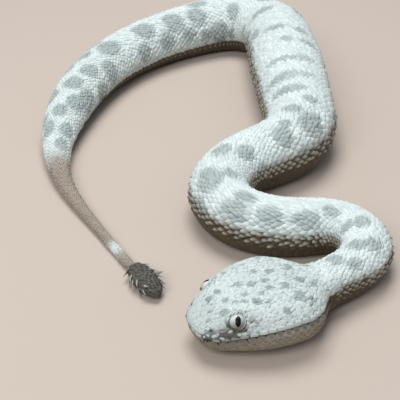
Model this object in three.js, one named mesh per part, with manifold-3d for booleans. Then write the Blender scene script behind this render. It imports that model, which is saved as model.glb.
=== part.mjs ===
// A spider-tailed horned viper, adult, at its life size, lying in loose bends with the tail
// brought forward beside the head. Millimetres, +Z up. The floor is z = 0, and the origin is
// on the floor under the middle of the animal's box. Looked at along +Y it lies as it is seen
// from in front and above: the head nearest, its snout to the left.
import * as THREE from 'three';
import { mergeVertices } from 'three/addons/utils/BufferGeometryUtils.js';
import Module from 'manifold-3d';

const wasm = await Module();
wasm.setup();

// Driving dimensions, all in millimetres and degrees. "Along" is the distance from the tip of
// the snout, measured down the middle of the back.
const TOTAL_LENGTH = 543;
const GAP = 0.3;
const SNOUT = { x: 0, y: 0, heading: 26, blunt: 0.9 };

// The route of the back: each bend has its middle along the body, the length over which it
// turns, and the turn, positive to the left of someone walking from the snout to the tail.
const BENDS = [
  { middle: 57, length: 74, turn: 36 },
  { middle: 75, length: 40, turn: 136 },
  { middle: 122, length: 81, turn: -166 },
  { middle: 177, length: 40, turn: 60 },
  { middle: 293, length: 56, turn: 108 },
  { middle: 360, length: 157, turn: 64 },
  { middle: 455, length: 72, turn: 36 },
];

// Outlines as [along, size]: half the width seen from above, the height of the back, the height
// of the belly or chin, and the height at which the body is widest.
const HALF_WIDTH = [
  [0, 2.8], [0.7, 4.8], [2.2, 6.4], [4.5, 8.1], [9, 10.6], [14, 13], [19, 14.7], [24, 15.4],
  [28, 15.5], [32, 14.3], [35.5, 12], [38, 9.6], [40.5, 7.4], [45, 6.5], [57, 7.5], [77, 8.6],
  [100, 9.6], [140, 10.6], [165, 11.8], [191, 13.2], [214, 14.2], [240, 15], [266, 14.6],
  [290, 13.4], [328, 11.9], [365, 10.7], [400, 9.6], [427, 7.6], [444, 5.5], [460, 3.6],
  [480, 2.2], [505, 1.5], [543, 1.4],
];
const BACK_HEIGHT = [
  [0, 9], [0.7, 10], [2.2, 11.1], [5, 12.7], [9, 14.4], [14, 15.9], [20, 16.5], [28, 16.3],
  [35, 14.9], [40, 13.4], [46, 12.9], [58, 13.8], [77, 15.8], [100, 17.8], [140, 19.8],
  [165, 22], [191, 24.4], [214, 26.2], [240, 27.6], [266, 27], [290, 25], [328, 22.4],
  [365, 20.2], [400, 18], [427, 14.6], [444, 10.8], [460, 7.2], [480, 4.5], [505, 3],
  [543, 2.8],
];
const BELLY_HEIGHT = [[0, 6], [0.7, 4.8], [2.2, 3.6], [6, 2.4], [28, 2.2], [36, 2], [44, 1.2], [56, 0]];
const WIDEST_HEIGHT = [[0, 8.2], [6, 8], [20, 7.6], [32, 7.6], [44, 7], [58, 6.4]];
const WIDEST_SHARE = 0.46;
const FLAT_BELLY_SHARE = 0.3;

// The mouth line as [along, height]: it rises from the snout to the cheek and falls at the corner.
const MOUTH = [[-2, 6.8], [4, 7.1], [8, 8], [12, 9.1], [16, 10], [20, 10.6], [26, 11], [34, 10.3]];
const MOUTH_CORNER = 34;
const LIP_OVERHANG = 0.5;
const LIP_BAND = 0.9;

// What sits on the head: its place along, and its angle round from the middle of the back.
const EYE = { along: 9.8, angle: 47, radius: 2.45, sunk: 1.5 };
const EYE_RING = { radius: 2.75, tube: 0.5, scales: 13, sunk: 0.3 };
const NOSTRIL = { along: 2.4, angle: 70, radius: 0.8 };
const BROW_HORNS = { count: 5, angle: 27, spread: 4.4, length: 1.9, root: 0.8, sunk: 0.8, lean: 48 };

// Where the body is divided, as distances along it.
const LENGTHS = [
  ['neck', 44, 64], ['body_1', 64, 80], ['body_2', 80, 104], ['body_3', 104, 138],
  ['body_4', 138, 186], ['body_5', 186, 240], ['body_6', 240, 290], ['body_7', 290, 324],
  ['body_8', 324, 380], ['body_9', 380, 432], ['tail_base', 432, 466], ['tail', 466, 523],
];

// The tail's lure: a swollen tip, and rows of long pointed scales that stand off it like legs.
const LURE = { from: 523, stem: 1.2, length: 17.5, width: 7, height: 5.6 };
const LURE_LEGS = { rows: 7, length: 3.4, root: 0.85, sunk: 1, lean: 38, angles: [62, 96] };

const colours = {
  back: new THREE.MeshStandardMaterial({ color: 0xc4cac8, roughness: 0.72, metalness: 0 }),
  head: new THREE.MeshStandardMaterial({ color: 0xc9d2d2, roughness: 0.68, metalness: 0 }),
  chin: new THREE.MeshStandardMaterial({ color: 0x9c9082, roughness: 0.7, metalness: 0 }),
  eye: new THREE.MeshStandardMaterial({ color: 0xaeb4b2, roughness: 0.12, metalness: 0 }),
  lure: new THREE.MeshStandardMaterial({ color: 0x6f706b, roughness: 0.7, metalness: 0 }),
};

// A smooth value between stations, flat in slope at a high or low one.
function between(stations, at) {
  const last = stations.length - 1;
  if (at <= stations[0][0]) return stations[0][1];
  if (at >= stations[last][0]) return stations[last][1];
  let i = 0;
  while (at > stations[i + 1][0]) i += 1;
  const slope = (k) => (stations[k + 1][1] - stations[k][1]) / (stations[k + 1][0] - stations[k][0]);
  const bend = (k) => {
    if (k === 0) return slope(0);
    if (k === last) return slope(last - 1);
    const [a, b] = [slope(k - 1), slope(k)];
    return a * b <= 0 ? 0 : (2 * a * b) / (a + b);
  };
  const span = stations[i + 1][0] - stations[i][0];
  const t = (at - stations[i][0]) / span;
  const rise = stations[i + 1][1] - stations[i][1];
  const ease = t * t * (3 - 2 * t);
  return stations[i][1] + rise * ease
    + span * (bend(i) * t * (1 - t) * (1 - t) - bend(i + 1) * t * t * (1 - t));
}

// The middle line of the back on the floor, walked in half-millimetre steps.
const STEP = 0.5;
const heading = (along) => THREE.MathUtils.degToRad(BENDS.reduce(
  (sum, { middle, length, turn }) =>
    sum + turn * THREE.MathUtils.smoothstep(along, middle - length / 2, middle + length / 2),
  SNOUT.heading,
));
const walk = [new THREE.Vector2(SNOUT.x, SNOUT.y)];
for (let along = STEP / 2; along < TOTAL_LENGTH + 20; along += STEP) {
  const ahead = new THREE.Vector2(Math.cos(heading(along)), Math.sin(heading(along)));
  walk.push(walk[walk.length - 1].clone().addScaledVector(ahead, STEP));
}

// A point of the animal: so far along, to the right of the back's line, and so high. The front of
// the head is drawn back a little, which makes the snout blunt.
function pointAt(along, right, height) {
  const drawnBack = SNOUT.blunt * Math.max(0, 1 - along / 8);
  const place = THREE.MathUtils.clamp((along + drawnBack) / STEP, 0, walk.length - 2);
  const i = Math.floor(place);
  const middle = walk[i].clone().lerp(walk[i + 1], place - i);
  const h = heading(along);
  return new THREE.Vector3(middle.x + right * Math.sin(h), middle.y - right * Math.cos(h), height);
}

// How far the skin stands out at the lips: a band over the mouth line, a step in below it.
function lipBulge(along, height) {
  const above = (height - between(MOUTH, along)) / LIP_BAND;
  const fade = 1 - THREE.MathUtils.smoothstep(along, MOUTH_CORNER - 4, MOUTH_CORNER + 3);
  return fade * LIP_OVERHANG * (Math.exp(-((above - 1) ** 2)) - 1.5 * Math.exp(-((above + 1.1) ** 2)));
}

// The skin at a distance along the body and an angle round it, 0 on the back's line.
function skinAt(along, angle, reach = 1) {
  const half = between(HALF_WIDTH, along);
  const top = between(BACK_HEIGHT, along);
  const bottom = between(BELLY_HEIGHT, along);
  const onBody = THREE.MathUtils.smoothstep(along, 44, 58);
  const widest = THREE.MathUtils.lerp(between(WIDEST_HEIGHT, along), bottom + (top - bottom) * WIDEST_SHARE, onBody);
  const squareness = THREE.MathUtils.lerp(3.3, 2.1, onBody);
  const round = (v) => Math.sign(v) * Math.abs(v) ** (2 / squareness);
  const up = Math.cos(angle);
  const out = Math.sin(angle);
  const below = (widest - bottom) * (1 + FLAT_BELLY_SHARE * 0.4);
  const height = up >= 0 ? widest + (top - widest) * round(up)
    : Math.max(bottom, widest + below * round(up));
  const side = half * round(out) + Math.sign(out) * lipBulge(along, height) * Math.abs(out) ** 0.5;
  const middleHeight = (top + bottom) / 2;
  return pointAt(along, side * reach, middleHeight + (height - middleHeight) * reach);
}

// A closed length of the body: a cylinder whose rings are laid on the skin at the given
// distances along.
function lengthOfBody(stations, sides) {
  const steps = stations.length - 1;
  const tube = new THREE.CylinderGeometry(1, 1, steps, sides, steps);
  const place = tube.attributes.position;
  for (let i = 0; i < place.count; i += 1) {
    const ring = Math.round(place.getY(i) + steps / 2);
    const angle = Math.atan2(place.getX(i), place.getZ(i));
    const reach = Math.hypot(place.getX(i), place.getZ(i)) > 0.5 ? 1 : 0;
    const at = skinAt(stations[ring], angle, reach);
    place.setXYZ(i, at.x, at.y, at.z);
  }
  return tube;
}

// Distances along for the rings: closer where the body turns sharply or is thin.
function ringStations(from, to) {
  const stations = [from];
  let last = from;
  for (let along = from + STEP; along < to; along += STEP) {
    const turned = Math.abs(heading(along) - heading(last)) > THREE.MathUtils.degToRad(11);
    const longEnough = along - last > Math.min(8, between(HALF_WIDTH, along) * 0.9 + 1.5);
    if ((turned || longEnough) && to - along > 1.5) {
      stations.push(along);
      last = along;
    }
  }
  return [...stations, to];
}

function solid(geometry) {
  const bare = geometry.clone();
  for (const name of Object.keys(bare.attributes)) if (name !== 'position') bare.deleteAttribute(name);
  const merged = mergeVertices(bare, 1e-4);
  return new wasm.Manifold(new wasm.Mesh({
    numProp: 3,
    vertProperties: new Float32Array(merged.attributes.position.array),
    triVerts: new Uint32Array(merged.index.array),
  }));
}

// The largest closed surface of a solid, as a geometry.
function surfaceOf(shape) {
  const parts = shape.decompose();
  parts.sort((a, b) => b.volume() - a.volume());
  const mesh = parts[0].getMesh();
  const geometry = new THREE.BufferGeometry();
  geometry.setAttribute('position', new THREE.BufferAttribute(mesh.vertProperties, 3));
  geometry.setIndex(new THREE.BufferAttribute(mesh.triVerts, 1));
  return geometry;
}

const viper = new THREE.Group();
function add(name, geometry, material) {
  const mesh = new THREE.Mesh(geometry, material);
  mesh.name = name;
  viper.add(mesh);
}

// Head: one closed form from the snout to the neck, parted at the mouth line and round the
// throat into the head and the lower jaw.
const headRings = [0, 0.7, 2.2, 3.6, 5.2, 7, 9, 11, 13, 15, 17.5, 20, 22.5, 25, 27.5, 30, 32, 34, 36, 37.5, 39, 40.5, 42, 44 - GAP];
const wholeHead = solid(lengthOfBody(headRings, 44));

// A point in the head's own straight frame.
function pointInHead(along, right, height) {
  const turn = THREE.MathUtils.degToRad(SNOUT.heading);
  const at = new THREE.Vector3(along, -right, height).applyAxisAngle(new THREE.Vector3(0, 0, 1), turn);
  return at.add(new THREE.Vector3(SNOUT.x, SNOUT.y, 0));
}

// The room of the jaw: below the mouth line, forward of a seam that curves down from the corner.
function belowMouth(clearance) {
  const side = new THREE.Shape();
  const lift = clearance;
  side.moveTo(-6, -6);
  side.lineTo(-6, between(MOUTH, -2) + lift);
  for (let along = -2; along <= MOUTH_CORNER; along += 3) side.lineTo(along, between(MOUTH, along) + lift);
  side.quadraticCurveTo(MOUTH_CORNER + 3 + lift, between(MOUTH, MOUTH_CORNER) - 0.5, MOUTH_CORNER + 3 + lift, 4);
  side.lineTo(MOUTH_CORNER + 3.5 + lift, -6);
  side.closePath();
  const block = new THREE.ExtrudeGeometry(side, { depth: 60, bevelEnabled: false, curveSegments: 6 });
  const place = block.attributes.position;
  for (let i = 0; i < place.count; i += 1) {
    const at = pointInHead(place.getX(i), place.getZ(i) - 30, place.getY(i));
    place.setXYZ(i, at.x, at.y, at.z);
  }
  return solid(block);
}

// Moves a shape built round the origin, +Z outwards and +X tailwards, onto the skin.
function onSkin(shape, along, angle, skin = skinAt) {
  const at = skin(along, angle);
  const tailwards = skin(along + 0.4, angle).sub(skin(along - 0.4, angle)).normalize();
  const round = skin(along, angle + 0.04).sub(skin(along, angle - 0.04));
  const outwards = round.cross(tailwards).normalize();
  const across = outwards.clone().cross(tailwards);
  const place = new THREE.Matrix4().makeBasis(tailwards, across, outwards).setPosition(at);
  return shape.applyMatrix4(place);
}

// A pointed scale that leans tailwards, its root sunk below the skin.
function pointedScale({ length, root, sunk, lean }) {
  const height = length + sunk;
  const cone = new THREE.ConeGeometry(root, height, 6, 2).translate(0, height / 2 - sunk, 0);
  return cone.rotateX(Math.PI / 2).rotateY(THREE.MathUtils.degToRad(lean));
}

const jaw = wholeHead.intersect(belowMouth(0));
let skull = wholeHead.subtract(belowMouth(GAP));

for (const [name, side] of [['eye_left', 1], ['eye_right', -1]]) {
  const angleOf = (thing) => side * THREE.MathUtils.degToRad(thing.angle);
  const eyeball = (radius) => onSkin(
    new THREE.SphereGeometry(radius, 20, 14).translate(0, 0, -EYE.sunk), EYE.along, angleOf(EYE));

  // The ring of small scales round the eye.
  const ring = new THREE.TorusGeometry(EYE_RING.radius, EYE_RING.tube, 6, EYE_RING.scales * 3);
  const place = ring.attributes.position;
  for (let i = 0; i < place.count; i += 1) {
    const round = Math.atan2(place.getY(i), place.getX(i));
    const swell = 1 + 0.06 * Math.cos(round * EYE_RING.scales);
    place.setXYZ(i, place.getX(i) * swell, place.getY(i) * swell, place.getZ(i) - EYE_RING.sunk);
  }
  skull = skull.add(solid(onSkin(ring, EYE.along, angleOf(EYE))));

  // A low clump of pointed scales over the eye, the middle one the longest.
  for (let k = 0; k < BROW_HORNS.count; k += 1) {
    const offMiddle = (2 * k) / (BROW_HORNS.count - 1) - 1;
    const horn = pointedScale({ ...BROW_HORNS, length: BROW_HORNS.length * (1 - 0.4 * offMiddle ** 2) });
    const angle = angleOf(BROW_HORNS) * (1 + 0.12 * offMiddle ** 2);
    skull = skull.add(solid(onSkin(horn, EYE.along + (offMiddle * BROW_HORNS.spread) / 2, angle)));
  }
  skull = skull.subtract(solid(eyeball(EYE.radius + GAP)));

  const hollow = new THREE.SphereGeometry(NOSTRIL.radius, 10, 8).scale(1.2, 0.9, 1);
  skull = skull.subtract(solid(onSkin(hollow, NOSTRIL.along, angleOf(NOSTRIL))));
  add(name, eyeball(EYE.radius), colours.eye);
}
add('head', surfaceOf(skull), colours.head);
add('lower_jaw', surfaceOf(jaw), colours.chin);

// Neck, body and tail in lengths that meet face to face.
for (const [name, from, to] of LENGTHS) {
  const sides = name.startsWith('tail') ? 14 : 22;
  add(name, lengthOfBody(ringStations(from, to - GAP), sides), colours.back);
}

// The lure, with its leg-like scales down each side.
function lureSkin(along, angle) {
  const share = THREE.MathUtils.clamp((along - LURE.from - LURE.stem) / LURE.length, 0, 1);
  const girth = Math.sqrt(Math.max(0, 1 - (2 * share - 1) ** 2));
  const height = LURE.height * (0.46 + 0.5 * girth * Math.cos(angle));
  return pointAt(along, (LURE.width / 2) * girth * Math.sin(angle), Math.max(0, height));
}
const bulb = new THREE.SphereGeometry(1, 18, 14).rotateX(Math.PI / 2);
const bulbPlace = bulb.attributes.position;
for (let i = 0; i < bulbPlace.count; i += 1) {
  const along = LURE.from + LURE.stem + (LURE.length * (1 + bulbPlace.getY(i))) / 2;
  const at = lureSkin(along, Math.atan2(bulbPlace.getX(i), bulbPlace.getZ(i)));
  bulbPlace.setXYZ(i, at.x, at.y, at.z);
}
let lure = solid(bulb).add(solid(lengthOfBody([LURE.from, LURE.from + 2, LURE.from + 5], 14)));
for (let k = 0; k < LURE_LEGS.rows; k += 1) {
  for (const [tier, degrees] of LURE_LEGS.angles.entries()) {
    for (const side of [1, -1]) {
      const share = (k + 0.5 + 0.4 * tier) / (LURE_LEGS.rows + 0.4);
      const along = LURE.from + LURE.stem + LURE.length * (0.08 + 0.84 * share);
      const length = LURE_LEGS.length * (0.8 + 0.5 * Math.abs(share - 0.4) + 0.15 * Math.sin(5 * k + side));
      const leg = pointedScale({ ...LURE_LEGS, length });
      lure = lure.add(solid(onSkin(leg, along, side * THREE.MathUtils.degToRad(degrees), lureSkin)));
    }
  }
}
add('tail_lure', surfaceOf(lure), colours.lure);

// The origin goes under the middle of the animal's box.
const middle = new THREE.Box3().setFromObject(viper).getCenter(new THREE.Vector3());
viper.position.set(-middle.x, -middle.y, 0);

export default viper;
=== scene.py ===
"""A spider-tailed horned viper at rest, life size, in metres. Its skin, scales and eyes are laid on
the same bends and outlines as the solids of the frame. +Z is up and the floor is z = 0. "Along" is
the distance from the tip of the snout down the back, and "angle" goes round the body from the
middle of the back, positive on the side that faces the camera at the head. Both are in
millimetres and degrees or radians until a point is made."""
import math

import bmesh
import bpy
import numpy as np
from mathutils import Matrix, Vector


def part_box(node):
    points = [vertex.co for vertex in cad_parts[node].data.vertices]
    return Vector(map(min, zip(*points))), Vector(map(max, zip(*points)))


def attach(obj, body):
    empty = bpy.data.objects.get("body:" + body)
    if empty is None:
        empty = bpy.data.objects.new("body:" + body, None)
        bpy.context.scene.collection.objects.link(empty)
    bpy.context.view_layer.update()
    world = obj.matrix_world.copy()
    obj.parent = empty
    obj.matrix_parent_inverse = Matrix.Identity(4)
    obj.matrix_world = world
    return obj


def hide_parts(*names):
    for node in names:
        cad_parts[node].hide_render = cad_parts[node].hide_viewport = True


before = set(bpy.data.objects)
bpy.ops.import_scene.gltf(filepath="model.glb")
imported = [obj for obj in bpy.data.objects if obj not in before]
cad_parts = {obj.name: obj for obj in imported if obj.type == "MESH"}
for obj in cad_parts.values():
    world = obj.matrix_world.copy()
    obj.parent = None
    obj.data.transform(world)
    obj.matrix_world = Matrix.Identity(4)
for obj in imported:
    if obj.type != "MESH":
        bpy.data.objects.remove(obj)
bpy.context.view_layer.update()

# Skin: one sleeve over the whole animal, from the snout to the tip of the lure. Soft hide, pale
# bluish grey on the back and dark brown underneath, which is painted shade over a tan belly. It is
# drawn over the flesh and lies under the scales by their depth.
MM = 0.001
TOTAL_LENGTH = 541.7
HEADING = 26

# The bends are (middle, length, turn in degrees). The widths and heights are (along, millimetres).
BENDS = [(57, 74, 36), (75, 40, 136), (122, 81, -166), (177, 40, 60), (293, 56, 108), (360, 157, 64),
         (455, 72, 36)]
HALF_WIDTH = [
    (0, 2.8), (0.7, 4.8), (2.2, 6.4), (4.5, 8.1), (9, 10.6), (14, 13), (19, 14.7), (24, 15.4),
    (28, 15.5), (32, 14.3), (35.5, 12), (38, 9.6), (40.5, 7.4), (45, 6.5), (57, 7.5), (77, 8.6),
    (100, 9.6), (140, 10.6), (165, 11.8), (191, 13.2), (214, 14.2), (240, 15), (266, 14.6),
    (290, 13.4), (328, 11.9), (365, 10.7), (400, 9.6), (427, 7.6), (444, 5.5), (460, 3.6),
    (480, 2.2), (505, 1.5), (543, 1.4)]
BACK_HEIGHT = [
    (0, 9), (0.7, 10), (2.2, 11.1), (5, 12.7), (9, 14.4), (14, 15.9), (20, 16.5), (28, 16.3),
    (35, 14.9), (40, 13.4), (46, 12.9), (58, 13.8), (77, 15.8), (100, 17.8), (140, 19.8), (165, 22),
    (191, 24.4), (214, 26.2), (240, 27.6), (266, 27), (290, 25), (328, 22.4), (365, 20.2), (400, 18),
    (427, 14.6), (444, 10.8), (460, 7.2), (480, 4.5), (505, 3), (543, 2.8)]
BELLY_HEIGHT = [(0, 6), (0.7, 4.8), (2.2, 3.6), (6, 2.4), (28, 2.2), (36, 2), (44, 1.2), (56, 0)]
WIDEST_HEIGHT = [(0, 8.2), (6, 8), (20, 7.6), (32, 7.6), (44, 7), (58, 6.4)]
MOUTH = [(-2, 6.8), (4, 7.1), (8, 8), (12, 9.1), (16, 10), (20, 10.6), (26, 11), (34, 10.3)]
MOUTH_CORNER = 34
NECK = (44, 58)
HEAD_SQUARENESS = 3.3
BODY_SQUARENESS = 2.1
BODY_WIDEST = 0.46
BELLY_FLATTENED = 1.12
SNOUT_CAP = 1.7
SNOUT_BULGE = 0.15
SNOUT_BLUNT = 0.9
LURE = {"from": 523, "stem": 1.2, "length": 17.5, "width": 7, "height": 5.6}
EYE = {"along": 9.8, "angle": math.radians(47), "radius": 2.45, "sunk": 1.5}


def paired(first, second):
    """Two sets of numbers as arrays of one shape."""
    return np.broadcast_arrays(np.asarray(first, float), np.asarray(second, float))


def between(stations, at):
    """A smooth value between stations, flat in slope at a high or low one."""
    xs, ys = np.array(stations, float).T
    slope = np.diff(ys) / np.diff(xs)
    inner = slope[:-1] * slope[1:]
    total = np.where(inner > 0, slope[:-1] + slope[1:], 1)
    bend = np.concatenate([slope[:1], np.where(inner > 0, 2 * inner / total, 0), slope[-1:]])
    at = np.clip(at, xs[0], xs[-1])
    i = np.clip(np.searchsorted(xs, at, side="right") - 1, 0, len(xs) - 2)
    span = xs[i + 1] - xs[i]
    t = (at - xs[i]) / span
    ease = t * t * (3 - 2 * t)
    curve = bend[i] * t * (1 - t) ** 2 - bend[i + 1] * t * t * (1 - t)
    return ys[i] + (ys[i + 1] - ys[i]) * ease + span * curve


def ease_between(at, low, high):
    """A share that eases from 0 at the low end to 1 at the high one."""
    t = np.clip((np.asarray(at, float) - low) / (high - low), 0, 1)
    return t * t * (3 - 2 * t)


def heading(along):
    """The direction of the back, which each bend turns a little further."""
    turned = sum(turn * ease_between(along, middle - length / 2, middle + length / 2)
                 for middle, length, turn in BENDS)
    return np.radians(HEADING + turned)


STEP = 0.5
walk_at = np.arange(0, TOTAL_LENGTH + 20, STEP)
walk_ahead = heading(walk_at[:-1] + STEP / 2)
walk_x = np.concatenate([[0], np.cumsum(np.cos(walk_ahead) * STEP)])
walk_y = np.concatenate([[0], np.cumsum(np.sin(walk_ahead) * STEP)])


def form(along, angle):
    """Points of the animal's form, in millimetres from the snout's tip."""
    along, angle = paired(along, angle)
    body = np.maximum(along, 0)
    half = between(HALF_WIDTH, body)
    top = between(BACK_HEIGHT, body)
    bottom = between(BELLY_HEIGHT, body)
    on_body = ease_between(body, *NECK)
    widest = bottom + (top - bottom) * BODY_WIDEST
    widest = between(WIDEST_HEIGHT, body) * (1 - on_body) + widest * on_body
    squareness = HEAD_SQUARENESS * (1 - on_body) + BODY_SQUARENESS * on_body
    up, out = np.cos(angle), np.sin(angle)
    round_up = np.sign(up) * np.abs(up) ** (2 / squareness)
    round_out = np.sign(out) * np.abs(out) ** (2 / squareness)
    above = widest + (top - widest) * round_up
    below = np.maximum(bottom, widest + (widest - bottom) * BELLY_FLATTENED * round_up)
    height = np.where(up >= 0, above, below)
    lip = (height - between(MOUTH, body)) / 0.9
    bulge = 0.5 * (np.exp(-((lip - 1) ** 2)) - 1.5 * np.exp(-((lip + 1.1) ** 2)))
    bulge = bulge * (1 - ease_between(body, MOUTH_CORNER - 4, MOUTH_CORNER + 3))
    side = half * round_out + np.sign(out) * bulge * np.sqrt(np.abs(out))

    # The lure swells from the thin tail and closes in a round tip.
    share = np.clip((body - LURE["from"] - LURE["stem"]) / LURE["length"], 0, 1)
    girth = np.sqrt(np.maximum(0, 1 - (2 * share - 1) ** 2))
    in_lure = ease_between(body, LURE["from"] - 1, LURE["from"] + 4)
    bulb_side = LURE["width"] / 2 * girth * out
    bulb_height = np.maximum(0, LURE["height"] * (0.46 + 0.5 * girth * up))
    side = side * (1 - in_lure) + bulb_side * in_lure
    height = height * (1 - in_lure) + bulb_height * in_lure

    # The front of the snout closes in a low dome.
    reach = np.clip(1 + along / SNOUT_CAP, 0, 1)
    middle = (top + bottom) / 2
    side = side * reach
    height = middle + (height - middle) * reach
    ahead = np.where(along < 0, -SNOUT_BULGE * (1 - reach ** 2), 0)
    turn = heading(body)
    walked = body + SNOUT_BLUNT * np.maximum(0, 1 - body / 8)
    x = np.interp(walked, walk_at, walk_x) + side * np.sin(turn) + ahead * np.cos(turn)
    y = np.interp(walked, walk_at, walk_y) - side * np.cos(turn) + ahead * np.sin(turn)
    return np.stack([x, y, height], -1)


def frame_at(along, angle):
    """Points of the form, with the directions tailwards, across and outwards there."""
    point = form(along, angle)
    tailwards = form(along + 0.25, angle) - form(along - 0.25, angle)
    across = form(along, angle + 0.02) - form(along, angle - 0.02)
    tailwards /= np.linalg.norm(tailwards, axis=-1, keepdims=True) + 1e-12
    outwards = np.cross(across, tailwards)
    outwards /= np.linalg.norm(outwards, axis=-1, keepdims=True) + 1e-12
    return point, tailwards, np.cross(outwards, tailwards), outwards


eye_point, _, _, eye_out = frame_at(EYE["along"], EYE["angle"])
eye_centre = eye_point - eye_out * EYE["sunk"]
eye_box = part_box("eye_left")
ORIGIN = np.array((eye_box[0] + eye_box[1]) / 2) / MM - eye_centre


def in_metres(points):
    return (points + ORIGIN) * MM


# The way round is 0 at the middle of the back and 1 or -1 at the middle of the belly, and goes
# by distance over the skin, so that scales keep their size on every side.
ring_along = np.arange(0.1 - SNOUT_CAP, TOTAL_LENGTH - 0.3, STEP)
ring_angle = np.linspace(0, math.pi, 361)
ring_steps = np.diff(form(ring_along[:, None], ring_angle[None, :]), axis=1)
ring_reach = np.cumsum(np.linalg.norm(ring_steps, axis=-1), axis=1)
ring_reach = np.concatenate([np.zeros((len(ring_along), 1)), ring_reach], axis=1)
ring_half = ring_reach[:, -1]
ring_way = ring_reach / ring_half[:, None]
even_ways = np.linspace(0, 1, 241)
ring_turn = np.array([np.interp(even_ways, ways, ring_angle) for ways in ring_way])


def looked_up(table, along, column):
    """Values of a table with a row for each ring, between its rows and columns."""
    row = np.clip((along - ring_along[0]) / STEP, 0, table.shape[0] - 1.001)
    column = np.clip(column, 0, 1) * (table.shape[1] - 1.001)
    i, j = row.astype(int), column.astype(int)
    down, on = row - i, column - j
    upper = table[i, j] * (1 - on) + table[i, j + 1] * on
    lower = table[i + 1, j] * (1 - on) + table[i + 1, j + 1] * on
    return upper * (1 - down) + lower * down


def angle_of(along, way):
    """The angle at a way round the body."""
    along, way = paired(along, way)
    way = (way + 1) % 2 - 1
    return np.copysign(looked_up(ring_turn, along, np.abs(way)), way)


def way_of(along, angle):
    """The way round the body at an angle."""
    along, angle = paired(along, angle)
    return np.copysign(looked_up(ring_way, along, np.abs(angle) / math.pi), angle)


def half_girth(along):
    """The distance over the skin from the middle of the back to that of the belly."""
    return np.interp(along, ring_along, ring_half)


# The markings: grey blotches that stand on the back and sides in loose rows, as (along, way round,
# length, width): those that show in the photo, then the rows that go on round the far side.
BLOTCHES = [
    (47, -0.07, 5, 5), (50, 0.15, 5, 4), (57, -0.07, 6, 5), (60, 0.11, 5, 5), (69, -0.04, 6, 5),
    (71, -0.24, 6, 5), (82, -0.12, 7, 4), (91, -0.24, 8, 5), (101, -0.21, 7, 6), (109, -0.05, 8, 5),
    (110, -0.25, 8, 6), (124, 0.11, 7, 5), (123, -0.14, 10, 8), (142, 0.16, 8, 6), (138, -0.07, 8, 6),
    (160, 0.18, 7, 8), (164, 0.05, 5, 4), (172, 0.2, 9, 9), (174, -0.04, 6, 8), (182, 0.09, 5, 5),
    (190, -0.13, 6, 13), (200, -0.09, 6.5, 20), (214, 0.08, 6, 8), (214, -0.11, 4, 12),
    (230, 0.17, 6, 8), (231, -0.02, 6, 5), (242, 0.14, 6, 7), (245, -0.09, 6, 10),
    (250, -0.31, 9, 6), (272, -0.17, 8, 11), (286, 0.04, 8, 6), (300, -0.24, 10, 8),
    (311, -0.46, 14, 8), (318, 0.02, 9, 6), (323, -0.2, 10, 9), (330, -0.4, 8, 6),
    (336, -0.18, 11, 10), (344, -0.37, 9, 7), (353, -0.13, 11, 9), (360, -0.4, 9, 7),
    (377, -0.07, 12, 9), (386, 0.17, 9, 6), (388, -0.35, 10, 9), (398, -0.12, 9, 7),
    (400, -0.46, 10, 7), (410, -0.01, 9, 7), (415, -0.34, 12, 8), (422, -0.19, 10, 7),
    (429, 0.02, 8, 6), (439, -0.2, 8, 5), (448, -0.12, 7, 5)]
BLOTCHES += [(at, 0.4 + 0.04 * math.sin(at), 8, 6) for at in range(70, 440, 19)]
BLOTCHES += [(at, 0.26 + 0.04 * math.sin(at), 9, 6) for at in range(270, 440, 21)]
BLOTCHES += [(at, 0.04 * math.sin(at) - 0.44, 7, 5) for at in range(120, 340, 20)]
BLOTCHES += [(at, 0.06 * math.cos(at / 4), 5, 3) for at in range(458, 515, 12)]

# The spots on the head, as (along, way round, size).
HEAD_SPOTS = [
    (5, 0.06, 1), (3, 0.17, 1), (6.5, -0.09, 1.7), (9.5, -0.11, 1.4), (10, 0.03, 1.7), (11.5, 0.1, 1),
    (13.5, 0.14, 1.4), (15, 0.07, 1.6), (16.5, 0.18, 2.1), (19.5, 0.21, 1), (15.5, -0.05, 1.7),
    (18, 0, 1.7), (22.5, 0, 1.7), (22, 0.09, 1.7), (19, 0.11, 1.4), (26.5, 0.11, 2.4), (32, 0.08, 2.4),
    (32.5, -0.1, 2.4), (39.5, -0.17, 2.1), (28, 0.24, 2.8), (21, -0.26, 1.4), (22, -0.13, 1.4),
    (25.5, -0.08, 1.4), (7.5, 0.17, 2.4), (22.5, 0.32, 1.7), (14.5, -0.24, 1.4), (18, -0.25, 1.4),
    (31, 0.3, 1.7), (35, 0.16, 2), (27, -0.3, 2)]


def darkness(along, way):
    """How grey the markings are at places on the skin, from 0 to 1."""
    along, way = paired(along, way)
    dark = np.zeros(along.shape)
    girth = half_girth(along)
    for at, round_at, length, width in BLOTCHES:
        beside = (way - round_at) * girth / (width / 1.7)
        apart = ((along - at) / (length / 2)) ** 2 + beside ** 2
        dark = np.maximum(dark, 1 - ease_between(apart, 0.35, 1.7))
    fainter = 0.2 * ease_between(along, 176, 198)
    stronger = 0.23 * ease_between(along, 256, 320)
    dark = dark * (0.95 - fainter + stronger)
    for at, round_at, size in HEAD_SPOTS:
        apart = ((along - at) ** 2 + ((way - round_at) * girth) ** 2) / (size / 2 + 0.25) ** 2
        dark = np.maximum(dark, 0.74 * (1 - ease_between(apart, 0.4, 1.9)))
    return dark


def underside_shade_and_sand(along, angle):
    """How far a place is from the pale hide of the back: 0 there, 1 on the dark underside, which is
    painted shade over a tan belly and begins higher up on the front of the body than behind, and 1
    on the sandy end of the tail, which is its own colour."""
    along = np.asarray(along, float)
    behind = ease_between(along, 250, 290)
    head = 1 - ease_between(along, 34, 43)
    start = 62 + (np.degrees(angle_of(along, mouth_way(along))) - 62) * head + 12 * behind
    down = ease_between(np.degrees(np.abs(angle)), start, start + 16 - 13 * head + 62 * behind)
    sandy = ease_between(along, 447, 461) * (1 - 0.9 * np.exp(-(((along - 512) / 3.5) ** 2)))
    return np.maximum(down, sandy)


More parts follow.
